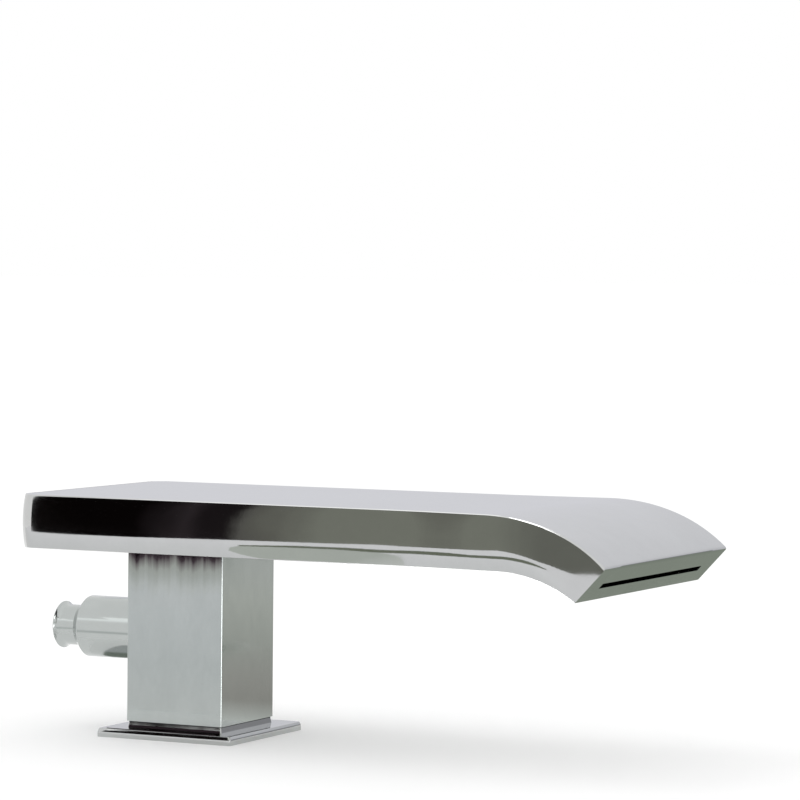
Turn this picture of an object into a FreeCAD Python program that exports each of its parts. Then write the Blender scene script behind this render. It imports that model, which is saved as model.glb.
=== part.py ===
import FreeCAD
import Part
import math
import os

# Deck-mounted waterfall bath spout with a pull-out diverter, in millimetres.
# +X points to the outlet and +Z up. The origin is the centre of the base plate's underside, on the deck.

# Fits and clearances
RUNNING_FIT = 0.05
THREAD_FIT = 0.05
SLIP_FIT = 0.15
SEAL_GAP = 0.05
SEAT_GAP = 0.1
BODY_GAP = 0.3
CUT_OVERRUN = 1.0

# Slab: side view
SLAB_T = 19.5
REAR_X = -48.0
REAR_CORNER_R = 6.0
EDGE_R = 0.8
TIP_X = 187.0
TIP_DROP = 16.65
TIP_T = 16.5
TIP_ANGLE = math.radians(42.5)
END_TILT = math.radians(43.0)
BEND_R = 90.0
BEND_ANGLE = math.radians(20.0)
BELLY_BEND_LENGTH = 40.0

# Slab: half widths, and the barrel of the sides and rear, which fades out before the tip
TOP_HALF_WIDTH = 50.5
BOTTOM_STEP_OUT = 0.75
SIDE_BULGE = 0.95
TIP_FLARE = 5.5
TIP_BULGE = 0.1
FLARE_LENGTH = 87.0
FLARE_RUN = 65.0
BARREL_FADE_LENGTH = 37.0
BARREL_FADE_RUN = 30.0
SIDE_STATION_PITCH = 12.0
BARREL_OVERRUN = 0.3

# Slab: water chamber, outlet slot and the lid in the underside
TOP_WALL = 2.5
REAR_WALL = 2.5
LID_T = 2.5
SIDE_WALL = 3.0
CHAMBER_FRONT_LENGTH = 37.0
LID_FRONT_LENGTH = 47.0
SLOT_DROP = 8.2
SLOT_GAP = 2.4
SLOT_DEPTH = 10.0
SLOT_SIDE_MARGIN = 11.0
BAFFLE_SETBACK = 20.0
BAFFLE_T = 2.0
BAFFLE_BRIDGE = 2.4
BAFFLE_COLUMNS = 11
BAFFLE_ROWS = 2

# Column, its seal and the base plate
COLUMN_SIDE = 40.0
COLUMN_WALL = 2.4
COLUMN_EDGE_R = 0.6
COLUMN_SEAL_H = 0.4
COLUMN_SEAL_INSET = 0.6
PLATE_SIDE = 56.0
PLATE_T = 3.2
PLATE_EDGE_R = 0.8
PLATE_STEP_H = 1.9
PLATE_STEP_INSET = 0.3
PLATE_STEP_DRAFT = math.radians(6.0)
GASKET_LAND = 2.2
GASKET_W = 4.6
GASKET_T = 1.6

# Spigot of the slab in the column, and its set screws
SPIGOT_H = 8.0
GRUB_R = 2.0
GRUB_SPACING = 18.0
GRUB_RECESS = 0.3
GRUB_BITE = 2.0
GRUB_SOCKET_AF = 2.0
GRUB_SOCKET_DEPTH = 1.6

# Valve body and its ports
VALVE_Z = 37.7
BODY_FRONT_WALL = 2.1
BODY_SPIGOT_GAP = 2.5
SUPPLY_PORT_R = 7.475
SUPPLY_PORT_DEPTH = 10.0
SUPPLY_PORT_X = 1.0
SUPPLY_PORT_Y = -5.0
INLET_Y = -3.0
INLET_MARGIN = 0.6
SHOWER_PORT_R = 4.46
SHOWER_PORT_DEPTH = 9.0
SHOWER_PORT_X = 6.2
SHOWER_PORT_Y = 7.2
SHOWER_PASSAGE_R = 2.4
SHOWER_PASSAGE_Y = 5.0
SHOWER_RISE = 10.0

# Riser nipple between the valve body and the slab
RISER_EDGE = 1.45
RISER_WALL = 1.0
RISER_PASSAGE_MARGIN = 0.2
RISER_SOCKET_DEPTH = 8.0
RISER_SOCKET_FLOOR = 4.3
RISER_LAND = 1.0
ORING_R = 0.75
ORING_GROOVE_W = 2.0

# Bonnet of the diverter, along X from the column's rear face
BONNET_SHOULDER = 1.5
BONNET_LENGTH = 27.5
CONE_LENGTH = 5.3
CONE_RIM_W = 0.25
THREAD_LENGTH = 7.5
THREAD_WALL = 3.15
BONNET_ORING_SETBACK = 1.7
BONNET_WEB = 2.5
GLAND_STEP = 0.8
GLAND_LENGTH = 12.4

# Diverter: knob, stem, disc and seats
TRAVEL = 6.0
KNOB_NECK_R = 7.6
KNOB_LIP_H = 1.2
KNOB_REACH = 6.5
KNOB_ENGAGEMENT = 3.3
KNOB_LIP_W = 0.6
KNOB_FLARE_LENGTH = 2.6
KNOB_DISH_DEPTH = 0.8
KNOB_RIM_W = 2.0
KNOB_EDGE_R = 0.4
KNOB_THREAD_LENGTH = 8.0
STEM_R = 3.0
STEM_THREAD_R = 2.5
STEM_TIP_LENGTH = 1.6
SPRING_COLLAR_LIP = 0.3
SPRING_COLLAR_T = 1.5
COLLAR_GAP = 1.0
COLLAR_CLEARANCE = 0.8
DISC_OVERLAP = 2.5
DISC_T = 4.0
BACKING_CLEARANCE = 0.5
BACKING_T = 1.5
NUT_AF = 7.0
NUT_T = 2.4
SEAT_T = 2.0
SEAT_BORE_R = 5.5
SEAT_BEAD_W = 1.5
SEAT_BEAD_H = 0.6
SHOWER_GALLERY_LENGTH = 5.5

# Return spring
SPRING_CLEARANCE = 0.9
SPRING_WIRE_R = 0.5
SPRING_TURNS = 5
SPRING_ARCS_PER_TURN = 4

# Fixing under the deck
SHANK_INSET = 1.1
SHANK_LENGTH = 45.0
SHANK_CHAMFER = 1.0
SHANK_SHOULDER = 1.1
SHANK_SPIGOT_WALL = 1.2
SHANK_SPIGOT_H = 8.0
TAP_HOLE_CLEARANCE = 0.3
DECK_T = 15.0
RUBBER_WASHER_W = 7.2
RUBBER_WASHER_T = 3.0
STEEL_WASHER_W = 6.2
STEEL_WASHER_T = 2.0
LOCK_NUT_WALL = 4.0
LOCK_NUT_T = 8.0
LOCK_NUT_CROWN_ANGLE = math.radians(30.0)

# Half sizes of the nested squares
COLUMN_HALF = COLUMN_SIDE / 2
COLUMN_BORE_HALF = COLUMN_HALF - COLUMN_WALL
BODY_HALF = COLUMN_BORE_HALF - BODY_GAP
SPIGOT_HALF = COLUMN_BORE_HALF - SLIP_FIT

# Radii of the pieces that fit round the stem, from the stem outwards
SPRING_MEAN_R = STEM_R + SPRING_CLEARANCE + SPRING_WIRE_R
SPRING_COLLAR_R = SPRING_MEAN_R + SPRING_WIRE_R + SPRING_COLLAR_LIP
SPRING_CAVITY_R = SPRING_COLLAR_R + COLLAR_CLEARANCE
GLAND_BORE_R = SPRING_CAVITY_R + GLAND_STEP
GLAND_R = GLAND_BORE_R - THREAD_FIT
BONNET_THREAD_R = GLAND_BORE_R + THREAD_WALL
VALVE_BORE_R = BONNET_THREAD_R + THREAD_FIT
BONNET_R = VALVE_BORE_R + BONNET_SHOULDER
DISC_R = SEAT_BORE_R + DISC_OVERLAP
BACKING_R = SEAT_BORE_R - BACKING_CLEARANCE
KNOB_BORE_R = KNOB_NECK_R + RUNNING_FIT
CONE_END_R = KNOB_BORE_R + CONE_RIM_W
KNOB_LIP_R = KNOB_NECK_R + KNOB_LIP_H

# Radii of the shank, its tap hole and the gasket
SHANK_R = COLUMN_BORE_HALF - SHANK_INSET
SHANK_SPIGOT_R = SHANK_R - SHANK_SHOULDER
SHANK_BORE_R = SHANK_SPIGOT_R - SHANK_SPIGOT_WALL
TAP_HOLE_R = SHANK_R + TAP_HOLE_CLEARANCE
GASKET_GROOVE_INNER_R = TAP_HOLE_R + GASKET_LAND
GASKET_GROOVE_OUTER_R = GASKET_GROOVE_INNER_R + GASKET_W

# Levels, from the deck up
STEP_TOP_Z = PLATE_T + PLATE_STEP_H
COLUMN_FOOT_Z = STEP_TOP_Z + COLUMN_SEAL_H
PORT_FACE_Z = PLATE_T + SHANK_SPIGOT_H + BODY_GAP
RISER_FOOT_Z = VALVE_Z + VALVE_BORE_R + RISER_SOCKET_FLOOR
BODY_TOP_Z = RISER_FOOT_Z + RISER_SOCKET_DEPTH
SPIGOT_FOOT_Z = BODY_TOP_Z + BODY_SPIGOT_GAP
SLAB_BOTTOM_Z = SPIGOT_FOOT_Z + SPIGOT_H
SLAB_TOP_Z = SLAB_BOTTOM_Z + SLAB_T
CHAMBER_FLOOR_Z = SLAB_BOTTOM_Z + LID_T
CHAMBER_TOP_Z = SLAB_TOP_Z - TOP_WALL
GRUB_Z = SLAB_BOTTOM_Z - SPIGOT_H / 2

# Half widths and stations of the slab
TIP_HALF_WIDTH = TOP_HALF_WIDTH + TIP_FLARE
CHAMBER_REAR_X = REAR_X + REAR_WALL
CHAMBER_HALF_WIDTH = TOP_HALF_WIDTH - SIDE_WALL
SLOT_HALF_WIDTH = TIP_HALF_WIDTH - SLOT_SIDE_MARGIN
LID_FRONT_X = TIP_X - LID_FRONT_LENGTH
BAFFLE_X = LID_FRONT_X - BAFFLE_SETBACK

# Stations of the diverter along X, from the bonnet's free end to the shower gallery
BONNET_X = -COLUMN_HALF
CONE_X = BONNET_X - BONNET_LENGTH
BONNET_END_X = CONE_X - CONE_LENGTH
KNOB_SOCKET_X = BONNET_END_X + TRAVEL + KNOB_ENGAGEMENT
SPRING_REST_X = KNOB_SOCKET_X + BONNET_WEB
THREAD_END_X = BONNET_X + THREAD_LENGTH
GLAND_X = THREAD_END_X - GLAND_LENGTH
COLLAR_X = GLAND_X - COLLAR_GAP - SPRING_COLLAR_T
KNOB_END_X = BONNET_END_X - KNOB_REACH
KNOB_INNER_X = KNOB_SOCKET_X - BODY_GAP
GALLERY_END_X = BODY_HALF - BODY_FRONT_WALL
SHOWER_SEAT_X = GALLERY_END_X - SHOWER_GALLERY_LENGTH - SEAT_T
DISC_X = SHOWER_SEAT_X - SEAT_GAP - DISC_T
SPOUT_SEAT_X = DISC_X - TRAVEL - SEAT_GAP - SEAT_T
RISER_X = (THREAD_END_X + SPOUT_SEAT_X) / 2
RISER_PASSAGE_R = (SPOUT_SEAT_X - THREAD_END_X) / 2 - RISER_PASSAGE_MARGIN
RISER_R = SPIGOT_HALF - RISER_EDGE + RISER_X
RISER_BORE_R = RISER_R - 2 * ORING_R - RISER_WALL
INLET_X = (SPOUT_SEAT_X + SEAT_T + SHOWER_SEAT_X) / 2
INLET_R = (SHOWER_SEAT_X - SPOUT_SEAT_X - SEAT_T) / 2 - INLET_MARGIN

# Curves of the slab's side view: two tangent arcs on top, one under the tip
TIP_R = (TIP_DROP - BEND_R * (1 - math.cos(BEND_ANGLE))) / (math.cos(BEND_ANGLE) - math.cos(TIP_ANGLE))
BEND_MID_X = TIP_X - TIP_R * (math.sin(TIP_ANGLE) - math.sin(BEND_ANGLE))
BEND_X = BEND_MID_X - BEND_R * math.sin(BEND_ANGLE)
BEND_CENTRE_Z = SLAB_TOP_Z - BEND_R
TIP_CENTRE_X = BEND_MID_X - TIP_R * math.sin(BEND_ANGLE)
TIP_CENTRE_Z = BEND_CENTRE_Z + (BEND_R - TIP_R) * math.cos(BEND_ANGLE)
TIP_Z = SLAB_TOP_Z - TIP_DROP
HEEL_X = TIP_X - TIP_T * math.sin(END_TILT)
HEEL_Z = TIP_Z - TIP_T * math.cos(END_TILT)
BELLY_BEND_X = TIP_X - BELLY_BEND_LENGTH
BELLY_RUN = HEEL_X - BELLY_BEND_X
BELLY_DROP = SLAB_BOTTOM_Z - HEEL_Z
BELLY_ANGLE = 2 * math.atan2(BELLY_DROP, BELLY_RUN)
BELLY_R = BELLY_RUN / math.sin(BELLY_ANGLE)


def vec(x, y, z):
    return FreeCAD.Vector(x, y, z)


def line(a, b):
    return Part.LineSegment(a, b).toShape()


def arc(a, middle, b):
    return Part.Arc(a, middle, b).toShape()


def block(x0, x1, y0, y1, z0, z1):
    return Part.makeBox(x1 - x0, y1 - y0, z1 - z0, vec(x0, y0, z0))


def square_post(half, z0, z1):
    return block(-half, half, -half, half, z0, z1)


def rod_z(radius, z0, z1, x=0, y=0):
    return Part.makeCylinder(radius, z1 - z0, vec(x, y, z0), vec(0, 0, 1))


def rod_x(radius, x0, x1, y=0, z=VALVE_Z):
    return Part.makeCylinder(radius, x1 - x0, vec(x0, y, z), vec(1, 0, 0))


def ring_z(outer, inner, z0, z1):
    return rod_z(outer, z0, z1).cut(rod_z(inner, z0 - CUT_OVERRUN, z1 + CUT_OVERRUN))


def hexagon_prism(across_flats, start, along):
    corner_r = across_flats / math.sqrt(3)
    side = vec(0, 1, 0)
    up = along.cross(side).normalize()
    turns = [math.radians(60 * i) for i in range(7)]
    points = [start + side * (corner_r * math.cos(t)) + up * (corner_r * math.sin(t)) for t in turns]
    return Part.Face(Part.makePolygon(points)).extrude(along)


def turned_about_valve_axis(edges):
    """Solid of revolution about the diverter's axis, from edges in the plane y = 0."""
    face = Part.Face(Part.Wire(edges))
    return face.revolve(vec(0, 0, VALVE_Z), vec(1, 0, 0), 360)


def turned_polygon(stations):
    """Solid of revolution about the diverter's axis, from corners given as (x, radius)."""
    points = [vec(x, 0, VALVE_Z + r) for x, r in stations]
    closed = points + points[:1]
    return turned_about_valve_axis([line(a, b) for a, b in zip(closed, closed[1:])])


def single_solid(shape):
    return shape.Solids[0] if len(shape.Solids) == 1 else shape


def rounded(shape, radius, wanted):
    return shape.makeFillet(radius, [edge for edge in shape.Edges if wanted(edge)])


def is_upright(edge):
    box = edge.BoundBox
    return box.ZLength > max(box.XLength, box.YLength)


# Slab

def smooth_step(share):
    s = min(max(share, 0.0), 1.0)
    return s * s * (3 - 2 * s)


def bend_point(angle, inset=0.0, y=0.0):
    """Point of the top curve where it has turned down by this angle, inset below the surface."""
    if angle <= BEND_ANGLE:
        radius = BEND_R - inset
        return vec(BEND_X + radius * math.sin(angle), y, BEND_CENTRE_Z + radius * math.cos(angle))
    radius = TIP_R - inset
    return vec(TIP_CENTRE_X + radius * math.sin(angle), y, TIP_CENTRE_Z + radius * math.cos(angle))


def belly_point(angle, y=0.0):
    centre_z = SLAB_BOTTOM_Z - BELLY_R
    return vec(BELLY_BEND_X + BELLY_R * math.sin(angle), y, centre_z + BELLY_R * math.cos(angle))


def top_height(x):
    if x <= BEND_X:
        return SLAB_TOP_Z
    if x <= BEND_MID_X:
        return BEND_CENTRE_Z + math.sqrt(BEND_R ** 2 - (x - BEND_X) ** 2)
    if x <= TIP_X:
        return TIP_CENTRE_Z + math.sqrt(TIP_R ** 2 - (x - TIP_CENTRE_X) ** 2)
    return TIP_Z - math.tan(TIP_ANGLE) * (x - TIP_X)


def belly_height(x):
    if x <= BELLY_BEND_X:
        return SLAB_BOTTOM_Z
    if x <= HEEL_X:
        return SLAB_BOTTOM_Z - BELLY_R + math.sqrt(BELLY_R ** 2 - (x - BELLY_BEND_X) ** 2)
    return HEEL_Z - math.tan(BELLY_ANGLE) * (x - HEEL_X)


def slab_side_view():
    """Prism of the slab's side view, wider than the slab."""
    y = -2 * TIP_HALF_WIDTH
    rear_top = vec(REAR_X, y, SLAB_TOP_Z)
    rear_middle = vec(REAR_X - BOTTOM_STEP_OUT / 2 - SIDE_BULGE, y, SLAB_TOP_Z - SLAB_T / 2)
    rear_bottom = vec(REAR_X - BOTTOM_STEP_OUT, y, SLAB_BOTTOM_Z)
    tip = bend_point(TIP_ANGLE, y=y)
    heel = vec(HEEL_X, y, HEEL_Z)
    mid_bend = bend_point(BEND_ANGLE, y=y)
    belly_start = belly_point(0.0, y)
    edges = [
        arc(rear_bottom, rear_middle, rear_top),
        line(rear_top, bend_point(0.0, y=y)),
        arc(bend_point(0.0, y=y), bend_point(BEND_ANGLE / 2, y=y), mid_bend),
        arc(mid_bend, bend_point((BEND_ANGLE + TIP_ANGLE) / 2, y=y), tip),
        line(tip, heel),
        arc(heel, belly_point(BELLY_ANGLE / 2, y), belly_start),
        line(belly_start, rear_bottom),
    ]
    return Part.Face(Part.Wire(edges)).extrude(vec(0, -2 * y, 0))


def barrel_section(x):
    """Cross-section with barrel sides, taller than the slab, so that only the sides matter."""
    top, bottom = top_height(x), belly_height(x)
    top_half = TOP_HALF_WIDTH + TIP_FLARE * smooth_step((x - TIP_X + FLARE_LENGTH) / FLARE_RUN)
    barrel_share = 1 - smooth_step((x - TIP_X + BARREL_FADE_LENGTH) / BARREL_FADE_RUN)
    bottom_half = top_half + BOTTOM_STEP_OUT * barrel_share
    bulge = SIDE_BULGE * barrel_share + TIP_BULGE * (1 - barrel_share)

    def side_point(height_share, side):
        straight = bottom_half + (top_half - bottom_half) * height_share
        barrel = bulge * (1 - (2 * height_share - 1) ** 2)
        return vec(x, side * (straight + barrel), bottom + (top - bottom) * height_share)

    shares = [-BARREL_OVERRUN, 0.5, 1 + BARREL_OVERRUN]
    left = [side_point(share, -1) for share in shares]
    right = [side_point(share, 1) for share in reversed(shares)]
    return Part.Wire([
        arc(*left),
        line(left[2], right[0]),
        arc(*right),
        line(right[2], left[0]),
    ])


def slab_body():
    """Rounded outside of the slab: straight behind, and lofted where its sides flare out to the tip."""
    start_x = REAR_X - 2 * REAR_CORNER_R
    flare_x = TIP_X - FLARE_LENGTH
    end_x = TIP_X + CUT_OVERRUN
    spans = math.ceil((end_x - flare_x) / SIDE_STATION_PITCH)
    stations = [flare_x + (end_x - flare_x) * i / spans for i in range(spans + 1)]
    straight = Part.makeLoft([barrel_section(start_x), barrel_section(flare_x)], True, True)
    flared = Part.makeLoft([barrel_section(x) for x in stations], True, False)
    body = single_solid(slab_side_view().common(straight.fuse(flared)))

    def at_rear_corner(edge):
        box = edge.BoundBox
        return box.XMax < REAR_X + EDGE_R and box.ZLength > SLAB_T / 2

    def is_long_rim(edge):
        box = edge.BoundBox
        return box.XMin < LID_FRONT_X and box.ZLength < SLAB_T / 2

    body = rounded(body, REAR_CORNER_R, at_rear_corner)
    return rounded(body, EDGE_R, is_long_rim)


def end_face_point(down, out):
    """Point in the plane y = 0 at this distance down the end face and out of it."""
    sine, cosine = math.sin(END_TILT), math.cos(END_TILT)
    return vec(TIP_X - down * sine + out * cosine, 0, TIP_Z - down * cosine - out * sine)


def prism_across(edges, half_width):
    face = Part.Face(Part.Wire(edges))
    face.translate(vec(0, -half_width, 0))
    return face.extrude(vec(0, 2 * half_width, 0))


def polygon_edges(points):
    closed = points + points[:1]
    return [line(a, b) for a, b in zip(closed, closed[1:])]


def water_chamber():
    """Flat chamber that narrows to the mouth of the slot."""
    front = TIP_X - CHAMBER_FRONT_LENGTH
    floor_rear = vec(CHAMBER_REAR_X, 0, CHAMBER_FLOOR_Z)
    roof_rear = vec(CHAMBER_REAR_X, 0, CHAMBER_TOP_Z)
    roof_bend = bend_point(0.0, TOP_WALL)
    roof_front = bend_point(BEND_ANGLE, TOP_WALL)
    mouth_top = end_face_point(SLOT_DROP, -SLOT_DEPTH)
    mouth_bottom = end_face_point(SLOT_DROP + SLOT_GAP, -SLOT_DEPTH)
    floor_front = vec(front, 0, CHAMBER_FLOOR_Z)
    edges = [
        line(floor_rear, roof_rear),
        line(roof_rear, roof_bend),
        arc(roof_bend, bend_point(BEND_ANGLE / 2, TOP_WALL), roof_front),
        line(roof_front, mouth_top),
        line(mouth_top, mouth_bottom),
        line(mouth_bottom, floor_front),
        line(floor_front, floor_rear),
    ]
    return prism_across(edges, CHAMBER_HALF_WIDTH)


def outlet_slot():
    corners = [
        end_face_point(SLOT_DROP, -SLOT_DEPTH - CUT_OVERRUN),
        end_face_point(SLOT_DROP, CUT_OVERRUN),
        end_face_point(SLOT_DROP + SLOT_GAP, CUT_OVERRUN),
        end_face_point(SLOT_DROP + SLOT_GAP, -SLOT_DEPTH - CUT_OVERRUN),
    ]
    return prism_across(polygon_edges(corners), SLOT_HALF_WIDTH)


def lid_blank(inset, z0, z1):
    """Plate between the chamber's walls, from its rear wall to just behind the bend."""
    half = CHAMBER_HALF_WIDTH - inset
    return block(CHAMBER_REAR_X + inset, LID_FRONT_X - inset, -half, half, z0, z1)


def make_spout_shell():
    opening = lid_blank(0.0, SLAB_BOTTOM_Z - CUT_OVERRUN, CHAMBER_FLOOR_Z + CUT_OVERRUN)
    hollow = water_chamber().fuse(opening).removeSplitter()
    return slab_body().cut(hollow).cut(outlet_slot())


def make_bottom_plate():
    plate = lid_blank(SLIP_FIT, SLAB_BOTTOM_Z, CHAMBER_FLOOR_Z)
    spigot = square_post(SPIGOT_HALF, SPIGOT_FOOT_Z, SLAB_BOTTOM_Z)
    plate = plate.fuse(spigot).removeSplitter()
    socket_top = SLAB_BOTTOM_Z - RISER_LAND
    socket = rod_z(RISER_R + SEAL_GAP, SPIGOT_FOOT_Z - CUT_OVERRUN, socket_top, RISER_X)
    water_way = rod_z(RISER_BORE_R, SPIGOT_FOOT_Z, CHAMBER_FLOOR_Z + CUT_OVERRUN, RISER_X)
    plate = plate.cut(socket).cut(water_way)
    for y in (-GRUB_SPACING / 2, GRUB_SPACING / 2):
        dimple_end = -SPIGOT_HALF + GRUB_BITE
        plate = plate.cut(rod_x(GRUB_R + THREAD_FIT, -COLUMN_HALF, dimple_end, y, GRUB_Z))
    return plate


def make_flow_baffle():
    half = CHAMBER_HALF_WIDTH - SLIP_FIT
    top = CHAMBER_TOP_Z - SLIP_FIT
    strip = block(BAFFLE_X, BAFFLE_X + BAFFLE_T, -half, half, CHAMBER_FLOOR_Z, top)
    pitch_y = 2 * half / BAFFLE_COLUMNS
    pitch_z = (top - CHAMBER_FLOOR_Z) / BAFFLE_ROWS
    hole_r = (min(pitch_y, pitch_z) - BAFFLE_BRIDGE) / 2
    for column_index in range(BAFFLE_COLUMNS):
        for row_index in range(BAFFLE_ROWS):
            y = -half + pitch_y * (column_index + 0.5)
            z = CHAMBER_FLOOR_Z + pitch_z * (row_index + 0.5)
            hole = rod_x(hole_r, BAFFLE_X - CUT_OVERRUN, BAFFLE_X + BAFFLE_T + CUT_OVERRUN, y, z)
            strip = strip.cut(hole)
    return strip


# Column and base

def make_column():
    post = square_post(COLUMN_HALF, COLUMN_FOOT_Z, SLAB_BOTTOM_Z)
    post = rounded(post, COLUMN_EDGE_R, is_upright)
    post = post.cut(square_post(COLUMN_BORE_HALF, COLUMN_FOOT_Z - CUT_OVERRUN, SLAB_BOTTOM_Z + CUT_OVERRUN))
    wall_end = -COLUMN_BORE_HALF + CUT_OVERRUN
    post = post.cut(rod_x(VALVE_BORE_R + SLIP_FIT, -COLUMN_HALF - CUT_OVERRUN, wall_end))
    for y in (-GRUB_SPACING / 2, GRUB_SPACING / 2):
        post = post.cut(rod_x(GRUB_R + THREAD_FIT, -COLUMN_HALF - CUT_OVERRUN, wall_end, y, GRUB_Z))
    return post


def make_column_seal():
    seal = square_post(COLUMN_HALF - COLUMN_SEAL_INSET, STEP_TOP_Z, COLUMN_FOOT_Z)
    seal = rounded(seal, COLUMN_EDGE_R, is_upright)
    return seal.cut(square_post(COLUMN_BORE_HALF, STEP_TOP_Z - CUT_OVERRUN, COLUMN_FOOT_Z + CUT_OVERRUN))


def square_wire(half, z):
    corners = [vec(half, half, z), vec(-half, half, z), vec(-half, -half, z), vec(half, -half, z)]
    return Part.makePolygon(corners + corners[:1])


def plate_step():
    """Raised rim that carries the column and holds the valve body, with the draft of a casting."""
    foot_half = COLUMN_HALF - PLATE_STEP_INSET
    head_half = foot_half - PLATE_STEP_H * math.tan(PLATE_STEP_DRAFT)
    step = Part.makeLoft([square_wire(foot_half, PLATE_T), square_wire(head_half, STEP_TOP_Z)], True, True)
    step = rounded(step, COLUMN_EDGE_R, is_upright)
    return step.cut(square_post(COLUMN_BORE_HALF, PLATE_T - CUT_OVERRUN, STEP_TOP_Z + CUT_OVERRUN))


def make_base_plate():
    half = PLATE_SIDE / 2
    plate = square_post(half, 0, PLATE_T)

    def is_outer_edge(edge):
        return is_upright(edge) or edge.BoundBox.ZMin > PLATE_T / 2

    plate = rounded(plate, PLATE_EDGE_R, is_outer_edge).fuse(plate_step()).removeSplitter()
    plate = plate.cut(rod_z(TAP_HOLE_R, -CUT_OVERRUN, PLATE_T + CUT_OVERRUN))
    return plate.cut(ring_z(GASKET_GROOVE_OUTER_R, GASKET_GROOVE_INNER_R, -CUT_OVERRUN, GASKET_T))


def make_base_gasket():
    return ring_z(GASKET_GROOVE_OUTER_R - SLIP_FIT, GASKET_GROOVE_INNER_R + SLIP_FIT, 0, GASKET_T)


def make_spout_grub_screws():
    screws = []
    head_x = -COLUMN_HALF + GRUB_RECESS
    point_x = -SPIGOT_HALF + GRUB_BITE - SLIP_FIT
    for y in (-GRUB_SPACING / 2, GRUB_SPACING / 2):
        screw = rod_x(GRUB_R, head_x, point_x, y, GRUB_Z)
        socket = hexagon_prism(GRUB_SOCKET_AF, vec(head_x, y, GRUB_Z), vec(GRUB_SOCKET_DEPTH, 0, 0))
        screws.append(screw.cut(socket))
    return Part.makeCompound(screws)


# Valve body and riser

def make_valve_body():
    body = square_post(BODY_HALF, PLATE_T, BODY_TOP_Z)
    body = body.cut(rod_z(SHANK_SPIGOT_R + THREAD_FIT, PLATE_T - CUT_OVERRUN, PORT_FACE_Z))
    body = body.cut(rod_x(VALVE_BORE_R, -BODY_HALF - CUT_OVERRUN, GALLERY_END_X))
    supply_end = PORT_FACE_Z + SUPPLY_PORT_DEPTH
    supply_port = rod_z(SUPPLY_PORT_R, PORT_FACE_Z - CUT_OVERRUN, supply_end, SUPPLY_PORT_X, SUPPLY_PORT_Y)
    inlet = rod_z(INLET_R, supply_end - CUT_OVERRUN, VALVE_Z, INLET_X, INLET_Y)
    shower_end = PORT_FACE_Z + SHOWER_PORT_DEPTH
    shower_port = rod_z(SHOWER_PORT_R, PORT_FACE_Z - CUT_OVERRUN, shower_end, SHOWER_PORT_X, SHOWER_PORT_Y)
    gallery_x = GALLERY_END_X - SHOWER_GALLERY_LENGTH / 2
    drilling_foot = vec(SHOWER_PORT_X, SHOWER_PORT_Y, shower_end - SHOWER_PORT_R)
    drilling_head = vec(gallery_x, SHOWER_PASSAGE_Y, drilling_foot.z + SHOWER_RISE)
    drilling = drilling_head - drilling_foot
    slanted = Part.makeCylinder(SHOWER_PASSAGE_R, drilling.Length, drilling_foot, drilling)
    knee = Part.makeSphere(SHOWER_PASSAGE_R, drilling_head)
    shower_rise = rod_z(SHOWER_PASSAGE_R, drilling_head.z, VALVE_Z, gallery_x, SHOWER_PASSAGE_Y)
    riser_socket = rod_z(RISER_R + SEAL_GAP, RISER_FOOT_Z, BODY_TOP_Z + CUT_OVERRUN, RISER_X)
    riser_passage = rod_z(RISER_PASSAGE_R, VALVE_Z, RISER_FOOT_Z + CUT_OVERRUN, RISER_X)
    passages = [supply_port, inlet, shower_port, slanted, knee, shower_rise, riser_socket, riser_passage]
    for passage in passages:
        body = body.cut(passage)
    return body


def riser_oring_heights():
    return BODY_TOP_Z - RISER_SOCKET_DEPTH / 2, SPIGOT_FOOT_Z + SPIGOT_H / 2


def make_riser_nipple():
    head_z = SLAB_BOTTOM_Z - RISER_LAND - SLIP_FIT
    nipple = rod_z(RISER_R, RISER_FOOT_Z, head_z, RISER_X)
    nipple = nipple.cut(rod_z(RISER_BORE_R, RISER_FOOT_Z - CUT_OVERRUN, head_z + CUT_OVERRUN, RISER_X))
    groove_floor = RISER_R - 2 * ORING_R
    for z in riser_oring_heights():
        groove = rod_z(RISER_R + CUT_OVERRUN, z - ORING_GROOVE_W / 2, z + ORING_GROOVE_W / 2, RISER_X)
        core = rod_z(groove_floor, z - ORING_GROOVE_W, z + ORING_GROOVE_W, RISER_X)
        nipple = nipple.cut(groove.cut(core))
    return nipple


def make_riser_orings():
    mean_r = RISER_R - ORING_R + SEAL_GAP / 2
    return Part.makeCompound([
        Part.makeTorus(mean_r, ORING_R, vec(RISER_X, 0, z), vec(0, 0, 1)) for z in riser_oring_heights()
    ])


# Diverter: fixed pieces

def bonnet_oring_x():
    return THREAD_END_X - BONNET_ORING_SETBACK


def make_bonnet():
    stem_bore_r = STEM_R + BODY_GAP
    bonnet = turned_polygon([
        (THREAD_END_X, GLAND_BORE_R),
        (THREAD_END_X, BONNET_THREAD_R),
        (BONNET_X, BONNET_THREAD_R),
        (BONNET_X, BONNET_R),
        (CONE_X, BONNET_R),
        (BONNET_END_X, CONE_END_R),
        (BONNET_END_X, KNOB_BORE_R),
        (KNOB_SOCKET_X, KNOB_BORE_R),
        (KNOB_SOCKET_X, stem_bore_r),
        (SPRING_REST_X, stem_bore_r),
        (SPRING_REST_X, SPRING_CAVITY_R),
        (GLAND_X, SPRING_CAVITY_R),
        (GLAND_X, GLAND_BORE_R),
    ])
    groove_floor = BONNET_THREAD_R - 2 * ORING_R
    half_groove = ORING_GROOVE_W / 2
    groove = turned_polygon([
        (bonnet_oring_x() - half_groove, groove_floor),
        (bonnet_oring_x() + half_groove, groove_floor),
        (bonnet_oring_x() + half_groove, VALVE_BORE_R + CUT_OVERRUN),
        (bonnet_oring_x() - half_groove, VALVE_BORE_R + CUT_OVERRUN),
    ])
    return bonnet.cut(groove)


def make_bonnet_oring():
    mean_r = BONNET_THREAD_R - ORING_R + SEAL_GAP / 2
    return Part.makeTorus(mean_r, ORING_R, vec(bonnet_oring_x(), 0, VALVE_Z), vec(1, 0, 0))


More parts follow.
